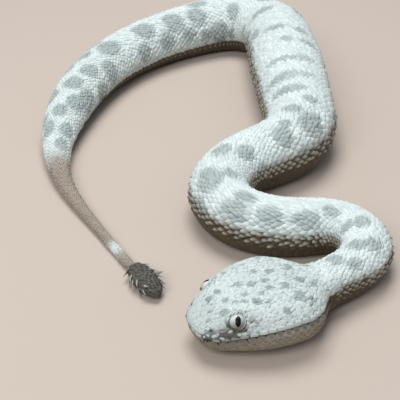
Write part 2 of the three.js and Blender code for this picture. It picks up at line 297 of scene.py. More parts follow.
def shadow(along, way):
    """How much painted shade lies on the head between its scales: most on the sides of the snout over
    the lip, and in the furrow that runs under each eye and out behind it."""
    along, way = paired(along, way)
    above_lip = mouth_way(along) - np.abs(way)
    snout = (1 - ease_between(above_lip, 0.12, 0.21)) * (1 - ease_between(along, 9, 14))
    snout = snout * (above_lip > 0)
    point, tailwards, across, _ = frame_at(EYE["along"], EYE["angle"])
    apart = form(along, angle_of(along, np.abs(way))) - point
    behind, below = apart @ tailwards, -(apart @ across)
    from_eye = np.hypot(behind * np.where(behind > 0, 0.72, 1), below)
    furrow = np.exp(-(((from_eye - 2.9) / 0.5) ** 2)) * ease_between(below, -0.4, 0.7)
    furrow = furrow + np.exp(-(((behind - 5.2) / 0.7) ** 2) - ((below - 0.8) / 0.4) ** 2)
    return np.clip(np.maximum(snout, furrow), 0, 1) * (along < 20)


SKIN_INSET = 0.32


def inset_at(along):
    """How deep the skin lies under the form: least where the body is thin."""
    return SKIN_INSET * np.minimum(1, between(HALF_WIDTH, np.maximum(along, 0)) / 5)


# The rings of the skin are close together on the head, and its columns at the lips.
COLUMNS = 128
skin_rings = np.concatenate([
    np.linspace(-SNOUT_CAP, 0, 9)[:-1], np.arange(0, 20, 0.3), np.arange(20, 44, 0.5),
    np.arange(44, 440, 1.8), np.arange(440, 520, 1.4),
    np.linspace(520, LURE["from"] + LURE["stem"] + LURE["length"], 30)])
NOSTRIL = {"along": 2.6, "angle": math.radians(66), "radius": 0.75}


def mouth_way(along):
    """The way round the head at which the mouth line lies."""
    body = np.clip(along, 0, MOUTH_CORNER)
    top, widest = between(BACK_HEIGHT, body), between(WIDEST_HEIGHT, body)
    rise = between(MOUTH, body) - widest
    below = (widest - between(BELLY_HEIGHT, body)) * BELLY_FLATTENED
    rise = np.clip(rise / np.where(rise > 0, top - widest, below), -0.99, 0.99)
    lips = way_of(along, np.arccos(np.sign(rise) * np.abs(rise) ** (HEAD_SQUARENESS / 2)))
    return lips + (0.5 - lips) * ease_between(along, MOUTH_CORNER, MOUTH_CORNER + 12)


def column_way(along, share):
    """The way round of a column of the skin, from its share of the columns, -1 to 1."""
    lips = mouth_way(along)
    crowd = 1.5 - 0.5 * ease_between(along, MOUTH_CORNER, MOUTH_CORNER + 12)
    part = np.abs(share) * 2
    over = lips * (1 - np.abs(1 - np.minimum(part, 1)) ** crowd)
    under = lips + (1 - lips) * np.maximum(part - 1, 0) ** crowd
    return np.sign(share) * np.where(part < 1, over, under)


def swell(along, angle):
    """How far the skin stands out of the plain form: brows, cheeks and the hollow between."""
    body = np.maximum(along, 0)
    turned = np.degrees(np.abs(angle))
    brow = np.exp(-(((body - 11.5) / 4.2) ** 2) - ((turned - 31) / 11) ** 2)
    cheek = np.exp(-(((body - 25) / 6) ** 2) - ((turned - 62) / 22) ** 2)
    crown = np.exp(-(((body - 11) / 7) ** 2) - (turned / 9) ** 2)
    loreal = np.exp(-(((body - 5.5) / 2.2) ** 2) - ((turned - 60) / 12) ** 2)
    return 0.75 * brow + 0.3 * cheek - 0.25 * crown - 0.3 * loreal


def sculpt(points, outwards, along, angle):
    """Works the mouth, nostrils and eye sockets into points of the form, and says how deep in
    shadow each point lies, from 0 to 1."""
    body = np.maximum(along, 0)
    lip = points[..., 2] - between(MOUTH, body)
    mouth = 1 - ease_between(body, MOUTH_CORNER - 2, MOUTH_CORNER + 1)
    mouth = mouth * np.exp(-(((lip + 0.35) / 0.4) ** 2))
    shaded = shadow(along, way_of(along, angle))
    points = points + outwards * (swell(along, angle) - 0.8 * mouth - 0.3 * shaded)[..., None]
    # The mouth line, the head's furrows, the eye sockets and the nostril holes get painted shade.
    painted_shade = np.maximum(mouth, 0.6 * shaded)
    for side in (1, -1):
        point, _, _, out = frame_at(EYE["along"], side * EYE["angle"])
        apart = points - (point - out * EYE["sunk"])
        above = apart @ out
        off_axis = np.linalg.norm(apart - above[..., None] * out, axis=-1)
        inside = (1 - ease_between(off_axis, EYE["radius"] - 0.1, EYE["radius"] + 0.4)) * (above > -1)
        points = points - out * (inside * np.maximum(above + 0.8, 0))[..., None]
        point, _, _, out = frame_at(NOSTRIL["along"], side * NOSTRIL["angle"])
        off_axis = np.linalg.norm(points - point, axis=-1)
        hole = 1 - ease_between(off_axis, NOSTRIL["radius"] * 0.5, NOSTRIL["radius"] * 1.3)
        points = points - out * (1.1 * hole)[..., None]
        painted_shade = np.maximum(painted_shade, np.maximum(inside, hole))
    return points, painted_shade


def give(mesh, name, values):
    """Keeps a value for each corner of a mesh, which its material reads."""
    layer = mesh.attributes.new(name, "FLOAT", "POINT")
    layer.data.foreach_set("value", np.asarray(values, np.float32))


def as_mesh(name, shape):
    """The mesh of a shape, which is then freed."""
    mesh = bpy.data.meshes.new(name)
    shape.to_mesh(mesh)
    shape.free()
    return mesh


def shown(name, data):
    """An object of a mesh, light or camera, put in the scene."""
    piece = bpy.data.objects.new(name, data)
    bpy.context.scene.collection.objects.link(piece)
    return piece


skin_shape = bmesh.new()
skin_shape.loops.layers.uv.new("OFBake")
bmesh.ops.create_grid(skin_shape, x_segments=len(skin_rings) - 1, y_segments=COLUMNS, size=0.5,
                      calc_uvs=True)
grid_place = np.array([vertex.co[:] for vertex in skin_shape.verts])
ring_number = np.rint((grid_place[:, 0] + 0.5) * (len(skin_rings) - 1)).astype(int)
skin_along = skin_rings[ring_number]
skin_way = column_way(skin_along, grid_place[:, 1] * 2)
skin_angle = angle_of(skin_along, skin_way)
skin_point, _, _, skin_out = frame_at(skin_along, skin_angle)
skin_point = skin_point - skin_out * inset_at(skin_along)[:, None]
skin_point, skin_painted_shade = sculpt(skin_point, skin_out, skin_along, skin_angle)
skin_looks = {"mark": darkness(skin_along, skin_way), "low": underside_shade_and_sand(skin_along, skin_angle),
              "painted_shade": skin_painted_shade}
look_layers = {look: skin_shape.verts.layers.float.new(look) for look in skin_looks}
for number, (vertex, place) in enumerate(zip(skin_shape.verts, in_metres(skin_point))):
    vertex.co = place
    for look, layer in look_layers.items():
        vertex[layer] = skin_looks[look][number]
bmesh.ops.remove_doubles(skin_shape, verts=skin_shape.verts, dist=1e-6)
bmesh.ops.recalc_face_normals(skin_shape, faces=skin_shape.faces)
skin = shown("skin", as_mesh("skin", skin_shape))
skin.data.shade_smooth()
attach(skin, "root")
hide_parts(*[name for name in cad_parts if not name.startswith("eye")])

# Hide colours, shared by the skin and every kind of scale: pale bluish grey on the back, grey in
# the blotches, and dark brown low on the flanks and underneath, which is painted shade over a tan
# belly, where the tips of the scales stay a fainter pale. One node group mixes them by the values
# that each mesh carries.
HIDE = {"Pale": (0.68, 0.77, 0.76, 1), "Grey": (0.29, 0.35, 0.35, 1),
        # Under is painted shade over a tan belly, and Fringe the scales' pale tips within that painted
        # shade.
        "Under": (0.085, 0.064, 0.037, 1), "Fringe": (0.42, 0.41, 0.36, 1),
        "Tip": (0.78, 0.85, 0.83, 1)}


def new_finish(name):
    """A new material, with its node tree and its shader."""
    material = bpy.data.materials.new(name)
    material.use_nodes = True
    tree = material.node_tree
    return material, tree, tree.nodes["Principled BSDF"]


def wire(tree, source, target):
    tree.links.new(source, target)


def mixed(tree, factor, first, second, blend="MIX"):
    """A colour mix of two sockets or colours in a node tree."""
    node = tree.nodes.new("ShaderNodeMix")
    node.data_type = "RGBA"
    node.blend_type = blend
    for socket, value in ((node.inputs[0], factor), (node.inputs[6], first), (node.inputs[7], second)):
        if isinstance(value, bpy.types.NodeSocket):
            wire(tree, value, socket)
        else:
            socket.default_value = value
    return node.outputs[2]


def figured(tree, operation, *values):
    """A sum of sockets or numbers in a node tree."""
    node = tree.nodes.new("ShaderNodeMath")
    node.operation = operation
    for socket, value in zip(node.inputs, values):
        if isinstance(value, bpy.types.NodeSocket):
            wire(tree, value, socket)
        else:
            socket.default_value = value
    return node.outputs[0]


def ranged(tree, value, low, high, to_low=0.0, to_high=1.0):
    """A value of a node tree, taken from one range to another and held within it."""
    node = tree.nodes.new("ShaderNodeMapRange")
    wire(tree, value, node.inputs["Value"])
    limits = {"From Min": low, "From Max": high, "To Min": to_low, "To Max": to_high}
    for name, number in limits.items():
        node.inputs[name].default_value = number
    return node.outputs[0]


def grained(tree, size, detail=2.0):
    """Noise in a node tree that stays on the piece, with grains of a size in millimetres."""
    place = tree.nodes.new("ShaderNodeTexCoord")
    node = tree.nodes.new("ShaderNodeTexNoise")
    node.inputs["Scale"].default_value = 1 / (size * MM)
    node.inputs["Detail"].default_value = detail
    wire(tree, place.outputs["Object"], node.inputs["Vector"])
    return node.outputs[0]


hide = bpy.data.node_groups.new("viper_hide", "ShaderNodeTree")
for name, start in HIDE.items():
    hide.interface.new_socket(name, in_out="INPUT", socket_type="NodeSocketColor").default_value = start
for name, kind in (("Color", "Color"), ("Roughness", "Float"), ("Height", "Float")):
    hide.interface.new_socket(name, in_out="OUTPUT", socket_type="NodeSocket" + kind)
hide_in = hide.nodes.new("NodeGroupInput")
hide_out = hide.nodes.new("NodeGroupOutput")
grown = {}
for name in ("mark", "low", "tone", "tip", "painted_shade"):
    node = hide.nodes.new("ShaderNodeAttribute")
    node.attribute_name = name
    grown[name] = node.outputs["Fac"]
broad = grained(hide, 9, 3)
fine = grained(hide, 0.7, 3)
edge = figured(hide, "ADD", grown["mark"], ranged(hide, broad, 0.3, 0.7, -0.18, 0.18))
marked = ranged(hide, edge, 0.12, 0.85)
colour = mixed(hide, marked, hide_in.outputs["Pale"], hide_in.outputs["Grey"])
colour = mixed(hide, figured(hide, "MULTIPLY", grown["tip"], 0.5), colour, hide_in.outputs["Tip"])
fringed = ranged(hide, grown["tip"], 0.3, 0.62)
flank = mixed(hide, fringed, hide_in.outputs["Under"], hide_in.outputs["Fringe"])
colour = mixed(hide, grown["low"], colour, flank)
toned = ranged(hide, grown["tone"], 0, 1, 0.9, 1.07)
deep = ranged(hide, grown["mark"], 1.0, 1.3, 1.0, 0.74)
speckled = ranged(hide, fine, 0.3, 0.7, 0.92, 1.05)
# Painted shade: the colour is darkened in the mouth line, eye sockets, nostrils and the head's furrows.
lit = ranged(hide, grown["painted_shade"], 0, 1, 1, 0.12)
shade = hide.nodes.new("ShaderNodeCombineColor")
varied = figured(hide, "MULTIPLY", toned, speckled)
factor = figured(hide, "MULTIPLY", varied, figured(hide, "MULTIPLY", deep, lit))
for socket in shade.inputs[:3]:
    wire(hide, factor, socket)
colour = mixed(hide, 1.0, colour, shade.outputs[0], "MULTIPLY")
wire(hide, colour, hide_out.inputs["Color"])
wire(hide, ranged(hide, fine, 0.3, 0.7, 0.5, 0.68), hide_out.inputs["Roughness"])
wire(hide, figured(hide, "ADD", fine, figured(hide, "MULTIPLY", broad, 0.3)), hide_out.inputs["Height"])


def hide_material(name, depth=0.05, **colours):
    """A finish of the hide, with a bump of a depth in millimetres."""
    material, tree, shader = new_finish(name)
    group = tree.nodes.new("ShaderNodeGroup")
    group.node_tree = hide
    for part, value in colours.items():
        group.inputs[part].default_value = value
    bump = tree.nodes.new("ShaderNodeBump")
    bump.inputs["Distance"].default_value = depth * MM
    wire(tree, group.outputs["Color"], shader.inputs["Base Color"])
    wire(tree, group.outputs["Roughness"], shader.inputs["Roughness"])
    wire(tree, group.outputs["Height"], bump.inputs["Height"])
    wire(tree, bump.outputs["Normal"], shader.inputs["Normal"])
    shader.inputs["Specular IOR Level"].default_value = 0.35
    return material


scale_hide = hide_material("scale_hide")
# The skin is drawn darker than the scales, as painted shade in the gaps between them.
skin.data.materials.append(hide_material(
    "skin_hide", Pale=(0.54, 0.61, 0.59, 1), Grey=(0.22, 0.26, 0.26, 1)))

# Back scales: 21 staggered rows of keeled, leaf-shaped scales, each rooted under the tip of the one
# before, from the neck to the tail. They are horn, pale on the keel and the tip, and stand out
# most low on the flanks. Parts are (name, from, to, rows), and the pitch is (along, millimetres).
SCALE_PARTS = [("neck", 41, 92, 17), ("front", 92, 215, 21), ("middle", 215, 310, 21),
               ("rear", 310, 436, 21)]
PITCH = [(40, 2.1), (60, 2.4), (100, 2.6), (165, 2.9), (240, 3.3), (330, 3.0), (400, 2.6), (436, 2.1),
         (474, 1.6), (523, 1.1)]
FLANK_WAY = 0.575
chance = np.random.default_rng(7)


def grid_scale(lengthwise, crosswise, leaf, crown, floor=-0.3):
    """A scale as arrays: corners (tailwards 0 to 1, across -1 to 1, height) and faces. The leaf
    gives the half width at a share of the length, and the crown the height there."""
    shape = bmesh.new()
    bmesh.ops.create_grid(shape, x_segments=lengthwise, y_segments=crosswise, size=0.5)
    for vertex in shape.verts:
        share, across = vertex.co.x + 0.5, vertex.co.y * 2
        vertex.co = (share, across * leaf(share), crown(share, across))
    bmesh.ops.remove_doubles(shape, verts=shape.verts, dist=1e-4)
    rim = [edge for edge in shape.edges if edge.is_boundary]
    wall = bmesh.ops.extrude_edge_only(shape, edges=rim)["geom"]
    for vertex in [item for item in wall if isinstance(item, bmesh.types.BMVert)]:
        vertex.co.z = floor + 0.25 * vertex.co.z
        vertex.co.y *= 0.9
    bmesh.ops.holes_fill(shape, edges=[edge for edge in shape.edges if edge.is_boundary], sides=0)
    return as_arrays(shape)


def as_arrays(shape):
    """The corners and faces of a closed shape, which is then freed."""
    bmesh.ops.recalc_face_normals(shape, faces=shape.faces)
    bmesh.ops.triangulate(shape, faces=[face for face in shape.faces if len(face.verts) > 4])
    corners = np.array([vertex.co[:] for vertex in shape.verts])
    faces = [[vertex.index for vertex in face.verts] for face in shape.faces]
    shape.free()
    return corners, faces


def leaf_width(share):
    return max(0, 1 - ((share - 0.42) / 0.6) ** 2) ** 0.62


def keel_height(share, across):
    rise = -0.25 + 1.0 * share ** 1.1
    keel = 0.3 * (1 - abs(across)) ** 1.4 * min(1, share * 3)
    return rise + keel - 0.28 * across ** 2 * (1 - 0.4 * share)


def raised(at, round_at, up):
    """Places on the skin, raised from it by a height."""
    angle = angle_of(at, round_at)
    point, _, _, out = frame_at(at, angle)
    placed = point + out * (up + swell(at, angle) - inset_at(at))[..., None]
    placed[..., 2] = np.maximum(placed[..., 2], 0)
    return placed


def stretch_at(along, angle, least=0.35):
    """How much longer than the middle of the back the skin is here, as in the outside of a bend."""
    ahead = form(along + 0.2, angle) - form(along - 0.2, angle)
    return np.maximum(np.linalg.norm(ahead, axis=-1) / 0.4, least)


def column(value, count):
    """A value for each of a count of scales, as a column."""
    return np.reshape(np.broadcast_to(value, count), (-1, 1))


def laid(template, along, way, length, width, height, turn=0, lift=0):
    """Scales of one template laid on the skin, one row of places for each."""
    corners, _ = template
    stretch = stretch_at(along, angle_of(along, way))[:, None]
    sizes = (length, width, height, turn, lift)
    length, width, height, turn, lift = (column(value, len(along)) for value in sizes)
    tailwards = corners[None, :, 0] * length
    across = corners[None, :, 1] * width / 2
    at = along[:, None] + (tailwards * np.cos(turn) - across * np.sin(turn)) / stretch
    sideways = tailwards * np.sin(turn) + across * np.cos(turn)
    round_at = way[:, None] + sideways / half_girth(along)[:, None]
    return raised(at, round_at, corners[None, :, 2] * height + lift)


def coat(name, template, placed, along, way, slot="back_skin", finish=None, tips=1.0, glow=1.0,
         **looks):
    """Joins scales into one piece that rides on the body and carries the skin's markings. Tips
    says where one scale is palest, and glow how much of that each of them has."""
    corners, faces = template
    count, size = placed.shape[:2]
    mesh = bpy.data.meshes.new(name)
    mesh.vertices.add(count * size)
    mesh.vertices.foreach_set("co", in_metres(placed).reshape(-1))
    lengths = np.tile([len(face) for face in faces], count)
    corner_of = np.concatenate(faces)[None, :] + np.arange(count)[:, None] * size
    mesh.loops.add(corner_of.size)
    mesh.loops.foreach_set("vertex_index", corner_of.reshape(-1).astype(np.int32))
    mesh.polygons.add(len(lengths))
    mesh.polygons.foreach_set("loop_start", (np.cumsum(lengths) - lengths).astype(np.int32))
    mesh.update()
    mesh.shade_smooth()
    angle = angle_of(along, way)
    # Painted shade: the head's scales are drawn a little darker, and the snout's more.
    darker = 0.13 * (1 - ease_between(along, 30, 44)) + 0.13 * (1 - ease_between(along, 3, 11))
    grown_looks = {"mark": darkness(along, way), "low": underside_shade_and_sand(along, angle),
                   "tone": chance.random(count), "painted_shade": darker}
    for look, value in {**grown_looks, **looks}.items():
        give(mesh, look, np.repeat(np.broadcast_to(value, count), size))
    if np.isscalar(tips):
        tips = tips * np.clip(corners[:, 0], 0, 1) ** 1.6 * (1 - 0.9 * np.abs(corners[:, 1]))
    shine = column(glow, count) * np.clip(tips, 0, 1)
    give(mesh, "tip", shine.reshape(-1))

    # Each scale gets a patch of its own on the bake map, at its root's place on the unrolled skin.
    patch = 0.003
    bake = np.empty((count, size, 2))
    unrolled = (along + SNOUT_CAP) / (TOTAL_LENGTH + SNOUT_CAP)
    bake[..., 0] = unrolled[:, None] + (corners[:, 0] - 0.5) * patch
    bake[..., 1] = (way / 2 + 0.5)[:, None] + corners[:, 1] * patch / 2
    layer = mesh.uv_layers.new(name="OFBake")
    bake = bake.reshape(-1, 2)[corner_of.reshape(-1)]
    layer.data.foreach_set("uv", np.clip(bake, 0, 1).reshape(-1))
    piece = shown(name, mesh)
    mesh.materials.append(finish or scale_hide)
    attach(piece, "root")
    return piece


def jitter(count, share):
    """Sizes that vary about 1 by a share, for a count of scales."""
    return 1 + share * chance.standard_normal(count)


back_scale = grid_scale(5, 4, leaf_width, keel_height)


def scale_rows(name, start, end, rows, painted_shadeches=PITCH, **more):
    """Lays staggered rows of keeled scales over the back and the flanks."""
    along, way = [], []
    at, step = start, 0
    while at < end:
        spots = (np.arange(rows) + 0.25 + 0.5 * (step % 2)) / rows * 2 - 1
        along.append(np.full(rows, at))
        way.append(FLANK_WAY * (0.86 * spots + 0.14 * spots ** 3))
        at += float(between(painted_shadeches, at)) / 2
        step += 1
    along, way = np.concatenate(along), np.concatenate(way)
    count = len(along)
    pitch = between(painted_shadeches, along)
    flank = ease_between(np.abs(way), 0.25, 0.5)
    spacing = half_girth(along) * 2 * FLANK_WAY / rows * (0.86 + 0.42 * (way / FLANK_WAY) ** 2)
    # Below the middle of the flank the pale tips fade into the underside's painted shade.
    shaded = ease_between(np.degrees(np.abs(angle_of(along, way))), 84, 98)
    bunched = np.clip(stretch_at(along, angle_of(along, way)), 0.45, 1.15)
    length = pitch * bunched * (1.42 + 0.16 * flank) * jitter(count, 0.05)
    width = spacing * (1.5 - 0.22 * flank) * jitter(count, 0.05)
    height = pitch * (0.18 + 0.12 * flank - 0.14 * shaded) * jitter(count, 0.2)
    turn = 0.07 * chance.standard_normal(count) + 0.2 * np.sign(way) * flank
    placed = laid(back_scale, along, way, length, width, height, turn)
    coat(name, back_scale, placed, along, way, glow=1 - 0.9 * shaded, **more)


for part, start, end, rows in SCALE_PARTS:
    scale_rows(part + "_scales", start, end, rows)

# Tail scales: the same keeled scales in fewer and smaller rows, round the thin end of the tail.
# Horn, sandy brown towards the lure, with one pale patch just before it.
sandy_hide = hide_material("sandy_hide", Under=(0.3, 0.25, 0.2, 1), Fringe=(0.42, 0.37, 0.31, 1))
scale_rows("tail_base_scales", 436, 474, 13, finish=sandy_hide)
scale_rows("tail_scales", 474, LURE["from"] + 1, 9, finish=sandy_hide)

# Belly plates: one broad, smooth plate for each row of the back, lapped tailwards and flat on the
# floor. Horn, drawn dark brown as painted shade over a tan belly. The tail has them in pairs.


def plate_height(share, across):
    return 0.1 + 0.5 * share - 0.4 * abs(across) ** 6


belly_plate = grid_scale(3, 12, lambda share: 1.0, plate_height)
for part, start, end, sides in [("belly", 41, 436, (0,)), ("under_tail", 436, LURE["from"], (-1, 1))]:
    spots = [start]
    while spots[-1] < end:
        spots.append(spots[-1] + float(between(PITCH, spots[-1])))
    along = np.array(spots)
    pitch = between(PITCH, along)[:, None]
    corners = belly_plate[0]
    reach = 1 - FLANK_WAY + 0.035
    for side in sides:
        at = along[:, None] + corners[None, :, 0] * pitch * 1.25
        half_reach = reach if side == 0 else reach / 2
        round_at = 1 + side * reach / 2 + corners[None, :, 1] * half_reach + 0 * at
        placed = raised(at, round_at, corners[None, :, 2] * pitch * 0.14)
        name = part + {0: "", -1: "_right", 1: "_left"}[side] + "_plates"
        coat(name, belly_plate, placed, along, np.ones(len(along)), tips=0.15,
             finish=sandy_hide if sides != (0,) else None)

# Head scales: small, rough, slightly keeled grains over the top and the sides of the head, finest
# on the snout. Horn, pale with grey specks; on the sides of the snout and round the eyes many are
# drawn low and dark brown, as painted shade. They leave room for the eyes, nostrils and lips.


def grain_width(share):
    return max(0, 1 - abs(2 * share - 0.96) ** 2.4 / 1.15) ** 0.5


def grain_height(share, across):
    dome = 0.5 * (1 - across ** 2) ** 0.6 * max(0, 1 - abs(2 * share - 1.1) ** 2.5 / 1.5)
    keel = 0.3 * max(0, 1 - abs(across) * 2.2) * min(1, share * 2)
    return max(-0.25, dome - 0.25 + 0.7 * share) + keel * (1 - share ** 4)


head_grain = grid_scale(4, 4, grain_width, grain_height)
GRAIN = [(-2, 0.7), (2, 0.85), (10, 1.0), (20, 1.2), (32, 1.5), (44, 1.75)]
HEAD_START = -1.6
LIP_PLATE = [(-0.6, 0.35), (0.3, 0.9), (6, 1.3), (20, 1.7), (30, 1.8), (34, 1.5), (40, 1.2)]


def head_roots(start, end, first, last, size=1.0):
    """Staggered roots between two ways round, which are functions of along."""
    roots = []
    along, step = start, 0
    while along < end:
        grain = float(between(GRAIN, along)) * size
        low, high = float(first(along)), float(last(along))
        count = int(round((high - low) * float(half_girth(along)) / grain))
        for spot in range(max(1, count)):
            way = low + (high - low) * (spot + 0.25 + 0.5 * (step % 2)) / max(1, count)
            roots.append((along, way, grain))
        along += grain * 0.6 / float(stretch_at(along, 0.5, 0.6))
        step += 1
    return np.array(roots)


def clear_of(along, way, spot, reach):
    """Which places lie further than a reach from a spot and its twin on the other side."""
    point = form(along, angle_of(along, way))
    twins = [form(spot["along"], side * spot["angle"]) for side in (1, -1)]
    return np.all([np.linalg.norm(point - twin, axis=-1) > reach for twin in twins], axis=0)


def over_lip(along):
    """The way round to the upper edge of the upper lip's plates."""
    return mouth_way(along) - between(LIP_PLATE, along) / half_girth(along)


def under_lip(along):
    """The way round to the lower edge of the lower lip's plates."""
    return mouth_way(along) + 1.25 * between(LIP_PLATE, along) / half_girth(along)


def off_front_lip(along, way, gap):
    """Which places on the front of the snout lie more than a gap above its mouth line, or below it
    for a gap under 0. Places behind the front always count."""
    over = form(along, angle_of(along, way))[..., 2] - between(MOUTH, 0.0)
    return (along > 0.4) | (over * np.sign(gap) > abs(gap))


SIDES = (("left", 1), ("right", -1))
EYE_RING = {"radius": 2.22, "tube": 0.2, "scales": 17, "reach": 2.95}
for part, side in SIDES:
    along, way, grain = head_roots(HEAD_START, 45, lambda along: 0.0, over_lip).T
    along = along + 0.12 * grain * chance.standard_normal(len(along))
    shift = 0.1 * grain * chance.standard_normal(len(along))
    way = side * way + shift / np.maximum(half_girth(along), 2)
    keep = clear_of(along, way, EYE, EYE_RING["reach"] + 0.4)
    keep &= clear_of(along, way, NOSTRIL, NOSTRIL["radius"] + 0.4)
    keep &= off_front_lip(along, way, 0.7)
    along, way, grain = along[keep], way[keep], grain[keep]
    count = len(along)
    shaded = shadow(along, way)
    # Most grains in the head's shadow are set low and drawn dark brown: painted shade.
    sunk_in_shade = shaded * (chance.random(count) < 0.7)
    placed = laid(head_grain, along - grain * 0.5, way, grain * 1.7 * jitter(count, 0.1),
                  grain * (1.15 - 0.15 * shaded) * jitter(count, 0.07),
                  grain * (0.11 + 0.3 * (shaded - sunk_in_shade)) * jitter(count, 0.25),
                  0.2 * chance.standard_normal(count), 0.12)
    coat("head_scales_" + part, head_grain, placed, along, way, slot="head_skin", tips=0.5,
         glow=1 - 0.8 * sunk_in_shade, low=0.1 * shaded + 0.75 * sunk_in_shade)

# Lip plates: a row of low, squarish shields along each lip. Smooth horn, brightest along the edge
# of the upper lip, which stands a little proud. The upper plates on the snout are darkened at random
# by painted shade; the lower plates are drawn dark brown as painted shade under the jaw, with pale
# rims that grow fainter towards the snout, also painted shade.


def shield_width(share):
    return max(0, 1 - abs(2 * share - 1) ** 5) ** 0.3


def shield_height(share, across):
    return 0.5 * (1 - 0.6 * abs(2 * share - 1) ** 3) * (1 - 0.6 * abs(across) ** 3) + 0.5 * share


LIP_PLATES = 15
LIP_START = 0.3
LIP_SLANT = 0.18
lip_shield = grid_scale(5, 5, shield_width, shield_height)
lip_hide = hide_material("lip_hide", Pale=(0.6, 0.68, 0.67, 1), Tip=(1, 1, 1, 1))
# The lower lip's dark brown is painted shade under the jaw.
shaded_lower_lip_hide = hide_material("shaded_lower_lip_hide", Pale=(0.2, 0.175, 0.135, 1), Tip=(0.95, 1.0, 0.97, 1))
plate_rim = np.maximum(np.abs(lip_shield[0][:, 1]), np.abs(2 * lip_shield[0][:, 0] - 1)) ** 1.6
edges = np.linspace(LIP_START, MOUTH_CORNER + 1, LIP_PLATES + 1)
along, length = edges[:-1], np.diff(edges) * 1.2
middle = along + length / 2
tall = between(LIP_PLATE, middle)
for part, side in SIDES:
    for row, down, share, parted in (("upper", -1, 1.0, 0.25), ("lower", 1, 1.1, 0.85)):
        way = side * (mouth_way(middle) + down * (parted + tall * share / 2) / half_girth(middle))
        placed = laid(lip_shield, along, way, length, tall * share * 1.12, 0.3, side * LIP_SLANT, 0.16)
        if row == "upper":
            bright = np.clip(side * lip_shield[0][:, 1], 0, 1) ** 1.5 * 2
            # Painted shade on the upper plates of the snout.
            dim = shadow(middle, way) * (0.35 + 0.55 * chance.random(len(middle)))
            looks = {"slot": "head_skin", "finish": lip_hide, "tips": bright, "low": dim}
        else:
            # The pale rims grow fainter towards the snout: painted shade.
            rims_out_of_shade = 0.25 + 0.75 * ease_between(middle, 14, 24)
            looks = {"slot": "chin_skin", "finish": shaded_lower_lip_hide, "tips": plate_rim, "low": 0, "glow": rims_out_of_shade}
        coat(row + "_lip_" + part, lip_shield, placed, middle, way, **looks)

# Chin and throat scales: smooth, larger than those on top, from the lower lip to the middle of the
# throat. They are drawn tan as painted shade, and towards the neck take the underside's painted shade.
shaded_chin_hide = hide_material("shaded_chin_hide", Pale=(0.31, 0.272, 0.21, 1), Grey=(0.24, 0.21, 0.16, 1),
                          Tip=(0.4, 0.36, 0.29, 1))
roots = head_roots(HEAD_START, 44, under_lip, lambda along: 1.0, 1.35)
roots = roots[off_front_lip(roots[:, 0], roots[:, 1], -0.5)]
along, way, grain = np.concatenate([roots, roots * [1, -1, 1]]).T
count = len(along)
placed = laid(head_grain, along - grain * 0.5, way, grain * 1.25, grain * 1.12,
              grain * 0.17 * jitter(count, 0.2), 0, 0.05)
# Painted shade: the throat's scales darken towards the neck.
coat("throat_scales", head_grain, placed, along, way, slot="chin_skin", tips=0.5, finish=shaded_chin_hide,
     low=ease_between(along, 30, 44))

# Eye rings and brows: a smooth rim round each eye, a ring of small scales round that, and above
# them the low clump of raised scales that makes the horn. Skin and horn, as the rest of the head; the
# ring's scales are drawn dark brown below and behind the eye, as painted shade.
around = np.arange(EYE_RING["scales"]) / EYE_RING["scales"] * 2 * math.pi
BROW = {"count": 7, "angle": math.radians(29), "spread": 6, "length": 1.1}


def horn_scale(sides, root, tip, bend, rows):
    """A horn as arrays: a cone that leans tailwards, in units of its length."""
    shape = bmesh.new()
    bmesh.ops.create_cone(shape, cap_ends=True, segments=sides, radius1=root, radius2=tip, depth=1)
    lengthwise = [edge for edge in shape.edges if abs(edge.verts[0].co.z - edge.verts[1].co.z) > 0.5]
    bmesh.ops.subdivide_edges(shape, edges=lengthwise, cuts=rows)
    for vertex in shape.verts:
        up = vertex.co.z + 0.5
        swollen = 1 + 0.3 * math.sin(math.pi * up)
        vertex.co = (vertex.co.x * swollen + bend * up ** 1.6, vertex.co.y * swollen * 2, up - 0.15)
    return as_arrays(shape)


brow_horn = horn_scale(6, 0.34, 0.07, 0.6, 3)
for part, side in SIDES:
    ahead = form(EYE["along"] + 0.3, EYE["angle"]) - form(EYE["along"] - 0.3, EYE["angle"])
    stretch = np.linalg.norm(ahead) / 0.6
    size = jitter(EYE_RING["scales"], 0.08)
    turn = around + math.pi / 2
    along = EYE["along"] + (EYE_RING["reach"] * np.cos(around) - size / 2 * np.cos(turn)) / stretch
    way = way_of(EYE["along"], side * EYE["angle"])
    way = way + (EYE_RING["reach"] * np.sin(around) - size / 2 * np.sin(turn)) / half_girth(EYE["along"])
    placed = laid(head_grain, along, way, size * 1.25, size, size * 0.2, turn, 0.1)
    # Painted shade on the ring below and behind the eye.
    coat("eye_scales_" + part, head_grain, placed, along, way, slot="head_skin", tips=0.3,
         tone=0.4, low=0.1 + 0.85 * shadow(along, way))

    shares = np.linspace(-0.5, 0.5, BROW["count"])
    along = EYE["along"] + 0.6 + shares * BROW["spread"]
    way = way_of(along, side * (BROW["angle"] + 0.08 * np.abs(shares)))
    tall = BROW["length"] * (1 - 1.1 * np.abs(shares)) * jitter(BROW["count"], 0.1) + 0.4
    placed = laid(brow_horn, along, way, tall, tall * 0.9, tall * 0.8)
    coat("brow_horns_" + part, brow_horn, placed, along, way, slot="head_skin", tips=0.7)

# Eyes: wet silver-grey balls sunk in the head, with an upright slit pupil whose top leans
# towards the snout. The iris is painted lighter above and towards the snout and darker below and at
# its edge, as painted light and shade. A smooth rim of skin holds each, drawn dark and darkest low
# on the snout's side, as painted shade.
IRIS = {"shaded": (0.17, 0.18, 0.165, 1), "lit": (0.72, 0.76, 0.73, 1),
        "streak": (0.3, 0.31, 0.28, 1), "edge": (0.2, 0.19, 0.16, 1)}
PUPIL_BLACK = (0.004, 0.003, 0.002, 1)
PUPIL_BOW = 3.2
PUPIL = {"width": 1.6, "height": 3.15, "back": 0.35, "down": 0.08, "lean": math.radians(8)}


